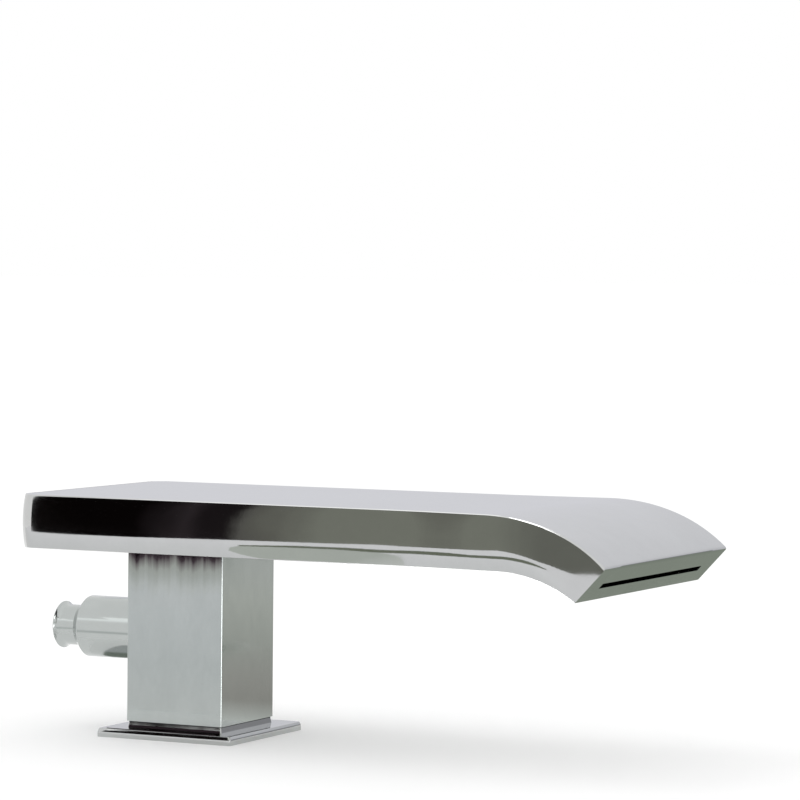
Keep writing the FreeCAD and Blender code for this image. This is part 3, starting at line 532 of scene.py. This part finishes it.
def bonnet_edge_radius(edge):
    """Rounding of one sharp edge of the bonnet."""
    at_cone = all(abs(v.co.x / MM - CONE_X) < TOUCH for v in edge.verts)
    return CONE_ROUND if at_cone else BONNET_ROUND


def make_bonnet():
    """Bonnet, turned from its profile of places along the valve's axis and radii."""
    groove_front = BONNET_GROOVE_X + BONNET_GROOVE_W / 2
    groove_rear = BONNET_GROOVE_X - BONNET_GROOVE_W / 2
    profile = [
        (BONNET_THREAD_END_X, GLAND_BORE_R),
        (BONNET_THREAD_END_X, BONNET_THREAD_R),
        (groove_front, BONNET_THREAD_R),
        (groove_front, BONNET_GROOVE_R),
        (groove_rear, BONNET_GROOVE_R),
        (groove_rear, BONNET_THREAD_R),
        (BONNET_X, BONNET_THREAD_R),
        (BONNET_X, BONNET_R),
        (CONE_X, BONNET_R),
        (CONE_END_X, CONE_END_R),
        (CONE_END_X, KNOB_BORE_R),
        (KNOB_SOCKET_X, KNOB_BORE_R),
        (KNOB_SOCKET_X, STEM_BORE_R),
        (SPRING_REST_X, STEM_BORE_R),
        (SPRING_REST_X, SPRING_CAVITY_R),
        (GLAND_X, SPRING_CAVITY_R),
        (GLAND_X, GLAND_BORE_R),
    ]
    rings = [turned_ring(x, radius) for x, radius in profile]
    bonnet = new_piece(stacked_mesh("diverter_bonnet", rings, True, bonnet_edge_radius))
    round_edges(bonnet)
    smooth(bonnet)
    return bonnet


def make_spring():
    """Coil of round wire about the valve's axis."""
    first_x = SPRING_REST_X + SPRING_WIRE_R + SPRING_SEAT_GAP
    last_x = COLLAR_X - SPRING_WIRE_R - SPRING_SEAT_GAP
    rise = (last_x - first_x) / (2 * math.pi * SPRING_TURNS)
    rings = []
    for i in range(SPRING_TURNS * SPRING_STEPS + 1):
        turn = 2 * math.pi * i / SPRING_STEPS
        out = Vector((0.0, math.cos(turn), math.sin(turn)))
        along = Vector((rise, -SPRING_MEAN_R * math.sin(turn), SPRING_MEAN_R * math.cos(turn)))
        side = along.normalized().cross(out)
        centre = Vector((first_x + rise * turn, 0.0, VALVE_Z)) + out * SPRING_MEAN_R
        wire = [out * math.cos(a) + side * math.sin(a) for a in turns_round(WIRE_STEPS)]
        rings.append([centre + direction * SPRING_WIRE_R for direction in wire])
    spring = new_piece(stacked_mesh("return_coil", rings))
    smooth(spring, WIRE_SMOOTH_ANGLE)
    return spring


def thread_ring(z):
    """One level of the shank's thread: a quarter pitch each for the crest, the root and either flank."""
    run_out = clamped((THREAD_TOP_Z - z) / THREAD_PITCH)
    points = []
    for i in range(ROUND_STEPS):
        share = i / ROUND_STEPS
        phase = (z / THREAD_PITCH - share) % 1.0
        flank = clamped(4 * abs(phase - 0.5) - 0.5)
        reach = SHANK_R - THREAD_DEPTH * flank * run_out
        reach = min(reach, SHANK_R - SHANK_CHAMFER + z - SHANK_FOOT_Z)
        turn = 2 * math.pi * share
        points.append(Vector((reach * math.cos(turn), reach * math.sin(turn), z)))
    return points


def make_shank():
    """Hollow shank with its thread outside, and the spigot above it."""
    height = PLATE_T - SHANK_FOOT_Z
    spigot_top = PLATE_T + SPIGOT_H
    levels = round(height / THREAD_PITCH * THREAD_STEPS)
    rings = [circle(SHANK_BORE_R, SHANK_FOOT_Z)]
    rings += [thread_ring(SHANK_FOOT_Z + height * i / levels) for i in range(levels + 1)]
    rings += [circle(SPIGOT_R, PLATE_T), circle(SPIGOT_R, spigot_top), circle(SHANK_BORE_R, spigot_top)]
    shank = new_piece(stacked_mesh("threaded_shank", rings, ring_shaped=True))
    smooth(shank)
    return shank


def new_material(name):
    """Material with an empty tree, and the tree's output."""
    material = bpy.data.materials.new(name)
    material.use_nodes = True
    tree = material.node_tree
    tree.nodes.clear()
    return material, tree, tree.nodes.new("ShaderNodeOutputMaterial")


def noise(tree, scale, detail, stretch, speckle=PLAIN_SPECKLE):
    """Object-space noise, stretched along an axis where the stretch is uneven."""
    coordinates = tree.nodes.new("ShaderNodeTexCoord")
    mapping = tree.nodes.new("ShaderNodeMapping")
    mapping.inputs["Scale"].default_value = stretch
    texture = tree.nodes.new("ShaderNodeTexNoise")
    texture.inputs["Scale"].default_value = scale
    texture.inputs["Detail"].default_value = detail
    texture.inputs["Roughness"].default_value = speckle
    tree.links.new(coordinates.outputs["Object"], mapping.inputs["Vector"])
    tree.links.new(mapping.outputs["Vector"], texture.inputs["Vector"])
    return texture.outputs["Fac"]


def spread(tree, value, low, high):
    """Maps the middle of a noise value to a range."""
    ranged = tree.nodes.new("ShaderNodeMapRange")
    ranged.inputs["From Min"].default_value = NOISE_LOW
    ranged.inputs["From Max"].default_value = NOISE_HIGH
    ranged.inputs["To Min"].default_value = low
    ranged.inputs["To Max"].default_value = high
    tree.links.new(value, ranged.inputs["Value"])
    return ranged.outputs["Result"]


def blend_colours(tree, value, first, second):
    """Mixes two colours by a value."""
    mix = tree.nodes.new("ShaderNodeMix")
    mix.data_type = "RGBA"
    mix.inputs["A"].default_value = (*first, 1.0)
    mix.inputs["B"].default_value = (*second, 1.0)
    tree.links.new(value, mix.inputs["Factor"])
    return mix.outputs["Result"]


def surface(name, first, second, rough, patch_scale, grain_scale, grain_depth, metallic=1.0, stretch=EVEN):
    """Two-tone procedural material with patchy roughness and a fine grain."""
    material, tree, output = new_material(name)
    shader = tree.nodes.new("ShaderNodeBsdfPrincipled")
    shader.inputs["Metallic"].default_value = metallic
    tones = noise(tree, patch_scale, TONE_DETAIL, stretch, TONE_SPECKLE)
    colour = blend_colours(tree, spread(tree, tones, 0.0, 1.0), first, second)
    tree.links.new(colour, shader.inputs["Base Color"])
    patches = noise(tree, patch_scale * PATCHES_PER_TONE, PATCH_DETAIL, stretch)
    tree.links.new(spread(tree, patches, *rough), shader.inputs["Roughness"])
    bump = tree.nodes.new("ShaderNodeBump")
    bump.inputs["Strength"].default_value = 1.0
    bump.inputs["Distance"].default_value = grain_depth * MM
    tree.links.new(noise(tree, grain_scale, GRAIN_DETAIL, stretch), bump.inputs["Height"])
    tree.links.new(bump.outputs["Normal"], shader.inputs["Normal"])
    tree.links.new(shader.outputs["BSDF"], output.inputs["Surface"])
    return material


def dress(piece, material):
    """Gives the piece one material."""
    piece.data.materials.clear()
    piece.data.materials.append(material)


def carried(node, material):
    """Gives a CAD node a finish and smooth shading."""
    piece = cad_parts[node]
    for slot in piece.material_slots:
        slot.material = material
    smooth(piece)


def fit_in(piece, node, finish):
    """Puts a piece in the place of a CAD node of the fixed body."""
    dress(piece, finish)
    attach(piece, "spout")
    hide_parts(node)


chrome = surface("slab_chrome", (0.54, 0.545, 0.54), (0.60, 0.605, 0.60), rough=(0.03, 0.06),
                 patch_scale=14.0, grain_scale=700.0, grain_depth=0.002)
# Column chrome: tones darker than the slab's, partly painted shade from the slab above, on a slightly
# rougher finish with upright streaks.
shaded_satin = surface("column_chrome", (0.42, 0.45, 0.44), (0.47, 0.50, 0.49), rough=(0.06, 0.11),
                patch_scale=70.0, grain_scale=150.0, grain_depth=0.015, stretch=(1.0, 1.0, 0.5))
plate_chrome = surface("plate_chrome", (0.50, 0.51, 0.505), (0.54, 0.55, 0.545), rough=(0.04, 0.09),
                       patch_scale=40.0, grain_scale=110.0, grain_depth=0.025)
knob_chrome = surface("knob_chrome", (0.465, 0.49, 0.48), (0.495, 0.52, 0.51), rough=(0.10, 0.15),
                      patch_scale=40.0, grain_scale=900.0, grain_depth=0.001)
rubber = surface("seal_rubber", (0.012, 0.012, 0.013), (0.03, 0.03, 0.032), rough=(0.55, 0.75),
                 patch_scale=200.0, grain_scale=1500.0, grain_depth=0.02, metallic=0.0)
brass = surface("brass", (0.62, 0.43, 0.18), (0.72, 0.52, 0.25), rough=(0.2, 0.35),
                patch_scale=120.0, grain_scale=900.0, grain_depth=0.004)
steel = surface("steel", (0.45, 0.46, 0.47), (0.56, 0.57, 0.58), rough=(0.22, 0.38),
                patch_scale=120.0, grain_scale=900.0, grain_depth=0.004)

FINISHES = {
    "bottom_plate": chrome,
    "flow_baffle": brass,
    "column": shaded_satin,
    "column_seal": rubber,
    "base_gasket": rubber,
    "spout_grub_screws": steel,
    "valve_body": brass,
    "riser_nipple": brass,
    "riser_orings": rubber,
    "bonnet_oring": rubber,
    "gland_bush": brass,
    "stem_orings": rubber,
    "spout_seat": brass,
    "shower_seat": brass,
    "pull_knob": knob_chrome,
    "diverter_stem": steel,
    "backing_washer": brass,
    "valve_disc": rubber,
    "disc_nut": brass,
    "rubber_washer": rubber,
    "steel_washer": steel,
    "lock_nut": brass,
}
for node, finish in FINISHES.items():
    carried(node, finish)

fit_in(make_slab(), "spout_shell", chrome)
fit_in(make_plate(), "base_plate", plate_chrome)
fit_in(make_bonnet(), "bonnet", knob_chrome)
fit_in(make_shank(), "shank", brass)

return_coil = make_spring()
fit_in(return_coil, "return_spring", steel)
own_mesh(return_coil)


def emission_material(name, colour, strength=1.0):
    """Plain glow."""
    material, tree, output = new_material(name)
    glow = tree.nodes.new("ShaderNodeEmission")
    glow.inputs["Color"].default_value = (*colour, 1.0)
    glow.inputs["Strength"].default_value = strength
    tree.links.new(glow.outputs["Emission"], output.inputs["Surface"])
    return material


def graded_material(name, axis, stops, cloud_scale=0.0, cloud_shift=0.0, cloud_stretch=EVEN):
    """Glow that changes along one axis, from stop to stop (place, colour); clouds shift it to and fro."""
    material, tree, output = new_material(name)
    coordinates = tree.nodes.new("ShaderNodeTexCoord")
    parts = tree.nodes.new("ShaderNodeSeparateXYZ")
    tree.links.new(coordinates.outputs["Object"], parts.inputs["Vector"])
    along = tree.nodes.new("ShaderNodeMapRange")
    start, end = stops[0][0], stops[-1][0]
    along.inputs["From Min"].default_value = start * MM
    along.inputs["From Max"].default_value = end * MM
    along.clamp = False
    tree.links.new(parts.outputs[axis], along.inputs["Value"])
    shift = cloud_shift / (end - start)
    clouds = spread(tree, noise(tree, cloud_scale, CLOUD_DETAIL, cloud_stretch), -shift, shift)
    total = tree.nodes.new("ShaderNodeMath")
    total.operation = "ADD"
    total.use_clamp = True
    tree.links.new(along.outputs["Result"], total.inputs[0])
    tree.links.new(clouds, total.inputs[1])
    ramp = tree.nodes.new("ShaderNodeValToRGB")
    elements = ramp.color_ramp.elements
    for place, _ in stops[1:-1]:
        elements.new((place - start) / (end - start))
    for element, (_, colour) in zip(elements, stops):
        element.color = (*colour, 1.0)
    tree.links.new(total.outputs["Value"], ramp.inputs["Fac"])
    glow = tree.nodes.new("ShaderNodeEmission")
    tree.links.new(ramp.outputs["Color"], glow.inputs["Color"])
    tree.links.new(glow.outputs["Emission"], output.inputs["Surface"])
    return material


def flat_mesh(name, corners):
    """One flat face."""
    mesh = bpy.data.meshes.new(name)
    mesh.from_pydata([Vector(corner) * MM for corner in corners], [], [range(len(corners))])
    return mesh


def card(name, corners, material):
    """Flat card that only shows in reflections."""
    piece = new_piece(flat_mesh(name, corners))
    dress(piece, material)
    piece.visible_camera = False
    piece.visible_diffuse = False
    piece.visible_transmission = False
    piece.visible_shadow = False


def upright_card(name, material, y, left, right, low, high):
    """Rectangular card that stands across Y."""
    card(name, [(left, y, low), (right, y, low), (right, y, high), (left, y, high)], material)


def level_card(name, material, level, outline):
    """Card that lies flat at a level."""
    card(name, [(x, y, level) for x, y in outline], material)


def rectangle(left, right, y_start, y_end):
    """Outline of a rectangular card that lies flat."""
    return [(left, y_start), (right, y_start), (right, y_end), (left, y_end)]


def make_front_flag():
    """Dark flag in front: black at the left, clouded, then grey-green.

    Its lower edge draws the slab's dark band.
    """
    y, top, left, right = -250.0, 360.0, -188.0, 120.0
    lower = [(-171.0, 46.0), (-150.0, 42.5), (-117.0, 43.0), (-72.0, 48.5), (-40.0, 51.0), (-17.0, 53.0),
             (4.0, 56.5), (51.0, 55.0), (91.0, 53.5), (right, 55.5)]
    upper = [(right, top), (left, top)]
    black, smoke, haze = (0.003, 0.002, 0.002), (0.014, 0.011, 0.012), (0.034, 0.027, 0.030)
    shade, moss = (0.125, 0.122, 0.112), (0.155, 0.155, 0.135)
    green, dim = (0.26, 0.27, 0.23), (0.185, 0.19, 0.165)
    stops = [(-118.0, black), (-104.0, smoke), (-92.0, haze), (-83.0, smoke), (-74.0, smoke),
             (-66.0, shade), (-56.0, moss), (-30.0, green), (0.0, green), (100.0, dim)]
    material = graded_material("front_flag", "X", stops, cloud_scale=45.0, cloud_shift=7.0,
                               cloud_stretch=(1.0, 1.0, 0.15))
    card("front_flag", [(x, y, z) for x, z in lower + upper], material)


def make_back_card():
    """Pale card behind, which the top of the slab mirrors."""
    dim, bright = (0.70, 0.705, 0.745), (0.84, 0.845, 0.88)
    material = graded_material("back_card", "Z", [(150.0, dim), (450.0, bright)])
    upright_card("back_card", material, y=900.0, left=-1000.0, right=700.0, low=20.0, high=800.0)


def make_front_card():
    """Pale card on the floor in front, which the slab's lower part and the column's near face mirror."""
    stops = [(-620.0, (0.95, 0.95, 0.97)), (-420.0, (0.96, 0.965, 0.985)), (-220.0, (0.88, 0.89, 0.90)),
             (-80.0, (0.92, 0.92, 0.92))]
    outline = rectangle(left=-900, right=400, y_start=-75, y_end=-900)
    level_card("front_card", graded_material("front_card", "Y", stops), FLOOR_CARD_Z, outline)


def make_end_card():
    """Green-grey card on the floor that the slab's end face and its rounded top edge mirror."""
    outline = [(165, 60), (300, 60), (680, 878), (509, 878), (350, 550), (223, 290), (165, 266)]
    green_grey = (0.285, 0.32, 0.27)
    level_card("end_card", emission_material("end_card", green_grey), FLOOR_CARD_Z, outline)


def make_column_right_card():
    """Card on the floor that the column's right face mirrors."""
    stops = [(25.0, (0.80, 0.81, 0.78)), (44.0, (0.68, 0.68, 0.65)), (86.0, (0.476, 0.455, 0.426)),
             (150.0, (0.52, 0.50, 0.47)), (300.0, (0.60, 0.605, 0.563)), (474.0, (0.705, 0.71, 0.665)),
             (660.0, (0.726, 0.73, 0.705))]
    outline = [(-20, 25), (130, 25), (163, 60), (163, 268), (221, 292), (348, 552), (507, 878),
               (200, 878), (0, 150)]
    material = graded_material("column_right_card", "Y", stops)
    level_card("column_right_card", material, FLOOR_CARD_Z, outline)


def make_column_shade_reflection_card():
    """Clouded card that the column's near face mirrors as its dark top: painted shade under the slab, put
    in as a reflection.
    """
    # Painted shade: light low down, near black up against the slab's underside, in upright streaks.
    stops = [(53.0, (0.95, 0.95, 0.97)), (56.0, (0.90, 0.90, 0.90)), (59.5, (0.74, 0.745, 0.725)),
             (62.0, (0.66, 0.66, 0.63)), (64.5, (0.36, 0.33, 0.33)), (66.3, (0.10, 0.07, 0.085)),
             (68.5, (0.012, 0.006, 0.010))]
    material = graded_material("column_shade_reflection_card", "Z", stops, cloud_scale=260.0, cloud_shift=2.6,
                               cloud_stretch=(1.0, 1.0, 0.06))
    upright_card("column_shade_reflection_card", material, y=-23.0, left=-24.0, right=21.0, low=48.0, high=70.45)


def make_foot_card():
    """Dark card that the near side of the plate's raised step mirrors."""
    dark = (0.035, 0.025, 0.03)
    material = emission_material("foot_card", dark)
    upright_card("foot_card", material, y=-24.0, left=-26.0, right=20.0, low=3.4, high=4.75)


def make_ellipse_card():
    """Card on the floor that the bonnet mirrors as its dark ellipse."""
    outline = [(-40, -25.5), (-47.7, -25), (-50, -15.6), (-52, -7), (-55, 6), (-60, 21), (-64, 38),
               (-40, 38)]
    grey, dark = (0.47, 0.49, 0.49), (0.21, 0.24, 0.21)
    material = graded_material("ellipse_card", "Y", [(-4.0, grey), (3.0, dark)])
    level_card("ellipse_card", material, FLOOR_CARD_Z, outline)


def make_bonnet_roof_cards():
    """Cards under the slab that the bonnet mirrors: light, and dark next to the column."""
    level = SLAB_BOTTOM_Z - ROOF_CARD_GAP
    roof = rectangle(left=-52, right=-34, y_start=-ROOF_CARD_HALF, y_end=ROOF_CARD_HALF)
    rim = rectangle(left=-34, right=-21, y_start=-ROOF_CARD_HALF, y_end=ROOF_CARD_HALF)
    dark = (0.03, 0.03, 0.03)
    level_card("bonnet_roof_card", emission_material("bonnet_roof_card", WHITE), level, roof)
    level_card("rim_card", emission_material("rim_card", dark), level, rim)


def make_knob_cards():
    """Light cards above and below the knob."""
    roof = rectangle(left=-75, right=-53, y_start=-ROOF_CARD_HALF, y_end=ROOF_CARD_HALF)
    floor = rectangle(left=-72, right=-49, y_start=-20, y_end=20)
    roof_level, floor_level = 60.0, 20.0
    level_card("knob_roof_card", emission_material("knob_roof_card", WHITE), roof_level, roof)
    level_card("knob_floor_card", emission_material("knob_floor_card", WHITE), floor_level, floor)


def make_line_card():
    """Light card in front of the diverter with the thin line that the bonnet mirrors."""
    shade, glow = (0.68, 0.71, 0.70), (1.42, 1.44, 1.45)
    stops = [(22.5, WHITE), (24.5, shade), (28.3, shade), (30.3, WHITE), (54.0, WHITE), (62.0, glow)]
    material = graded_material("line_card", "Z", stops)
    upright_card("line_card", material, y=-45.0, left=-80.0, right=-36.0, low=5.0, high=68.0)


def make_band_card():
    """Bright card far off that the bonnet mirrors as its light band."""
    left, right = (-1002, -924), (-598, -1216)
    low, high, glow = 620, 930, 1.42
    corners = [(*left, low), (*right, low), (*right, high), (*left, high)]
    card("band_card", corners, emission_material("band_card", WHITE, glow))


def make_corner_card():
    """Bright card that draws the light line down the column's front edge."""
    outline = [(32, -30), (556, -470), (686, -236)]
    glow = 7.0
    level_card("corner_glow", emission_material("corner_glow", WHITE, glow), FLOOR_CARD_Z, outline)


def make_lens_cards():
    """Cards in front that the lower part of the slab's side mirrors as a grey lens with a dark rim."""
    lens_level, rim_level = 60.0, 60.5
    lens = [(7, -118), (9, -107), (15, -95), (25, -85), (33, -79.5), (42, -75), (93, -75), (62, -122),
            (45, -130), (25, -126)]
    grey, light, dark = (0.60, 0.64, 0.59), (0.80, 0.82, 0.80), (0.20, 0.22, 0.17)
    material = graded_material("lens_card", "X", [(72.0, grey), (96.0, light)])
    level_card("lens_card", material, lens_level, lens)
    near = [(9, -115), (25, -120), (45, -122), (60, -117), (75, -112), (90, -113), (113, -120),
            (124, -124), (138, -137)]
    far = [(137, -142), (124, -148), (113, -148), (95, -138), (75, -128), (60, -134), (42, -140),
           (22, -136), (5, -121)]
    level_card("lens_rim", emission_material("lens_rim", dark), rim_level, near + far)


def make_sky_cards():
    """Bright cards overhead that draw the light line on the slab's upper edge, white in the bend."""
    level, front, back = 1000.0, -1200.0, 900.0
    sky = [(-560, front), (-560, back), (-280, back), (-280, front)]
    bend = [(-205, front), (-205, back), (75, back), (75, front)]
    sky_glow, bend_glow = 1.5, 4.0
    level_card("sky_card", emission_material("sky_card", WHITE, sky_glow), level, sky)
    level_card("bend_card", emission_material("bend_card", WHITE, bend_glow), level, bend)


def make_step_card():
    """Grey card behind at the right, mirrored by the right side of the plate's raised step."""
    grey = (0.34, 0.34, 0.36)
    material = emission_material("step_card", grey)
    upright_card("step_card", material, y=880.0, left=340.0, right=760.0, low=2.0, high=120.0)


def floor_material():
    """White that keeps the shadow; its own faint glow brings it up to the white around it."""
    paint = (0.9, 0.9, 0.9, 1.0)
    faint = 0.12
    material, tree, output = new_material("floor")
    diffuse = tree.nodes.new("ShaderNodeBsdfDiffuse")
    diffuse.inputs["Color"].default_value = paint
    glow = tree.nodes.new("ShaderNodeEmission")
    glow.inputs["Strength"].default_value = faint
    both = tree.nodes.new("ShaderNodeAddShader")
    tree.links.new(diffuse.outputs["BSDF"], both.inputs[0])
    tree.links.new(glow.outputs["Emission"], both.inputs[1])
    tree.links.new(both.outputs["Shader"], output.inputs["Surface"])
    return material


def make_floor():
    """Large floor, level with the plate's underside."""
    reach, level = 30000.0, 0.0
    corners = [(x, y, level) for x, y in rectangle(-reach, reach, -reach, reach)]
    floor = new_piece(flat_mesh("floor", corners))
    dress(floor, floor_material())


def make_world():
    """White surroundings."""
    world = bpy.data.worlds.new("studio")
    bpy.context.scene.world = world
    world.use_nodes = True
    background = world.node_tree.nodes["Background"]
    background.inputs["Color"].default_value = (*WHITE, 1.0)
    background.inputs["Strength"].default_value = 1.0


def make_key_light():
    """Large lamp of an even brightness, aimed at the spout from above, which casts the shadow."""
    place = Vector((-550.0, -50.0, 1100.0)) * MM
    target = Vector((60.0, 0.0, 60.0)) * MM
    width, height, radiance = 700.0 * MM, 500.0 * MM, 1.2
    lamp = bpy.data.lights.new("key_light", "AREA")
    lamp.shape = "RECTANGLE"
    lamp.size = width
    lamp.size_y = height
    lamp.energy = radiance * width * height * math.pi
    piece = bpy.data.objects.new("key_light", lamp)
    piece.location = place
    piece.rotation_euler = (target - place).to_track_quat("-Z", "Y").to_euler()
    piece.visible_glossy = False
    bpy.context.scene.collection.objects.link(piece)


def make_camera():
    """Camera of the photograph: fitted to the edges of the slab, column and plate."""
    azimuth, pitch, roll = math.radians(26.2734), math.radians(2.0961), math.radians(0.5443)
    distance, focal_pixels, image_pixels, sensor = 1362.43, 3770.60, 800.0, 36.0
    target = Vector((81.6446, 0.0, 126.0552))
    view_limit = 100000.0
    back_x = math.sin(azimuth) * math.cos(pitch)
    back_y = -math.cos(azimuth) * math.cos(pitch)
    back = Vector((back_x, back_y, math.sin(pitch)))
    right = (-back).cross(Vector((0, 0, 1))).normalized()
    up = right.cross(-back)
    rolled_right = right * math.cos(roll) + up * math.sin(roll)
    rolled_up = up * math.cos(roll) - right * math.sin(roll)
    data = bpy.data.cameras.new("camera")
    data.sensor_width = sensor
    data.lens = focal_pixels / image_pixels * sensor
    data.clip_end = view_limit * MM
    camera = bpy.data.objects.new("camera", data)
    axes = Matrix((rolled_right, rolled_up, back)).transposed().to_4x4()
    camera.matrix_world = Matrix.Translation((target + back * distance) * MM) @ axes
    bpy.context.scene.collection.objects.link(camera)
    bpy.context.scene.camera = camera


make_floor()
make_world()
make_camera()
make_front_flag()
make_back_card()
make_front_card()
make_end_card()
make_column_right_card()
make_column_shade_reflection_card()
make_foot_card()
make_ellipse_card()
make_bonnet_roof_cards()
make_knob_cards()
make_line_card()
make_band_card()
make_corner_card()
make_lens_cards()
make_sky_cards()
make_step_card()
make_key_light()

scene = bpy.context.scene
scene.view_settings.view_transform = "Standard"
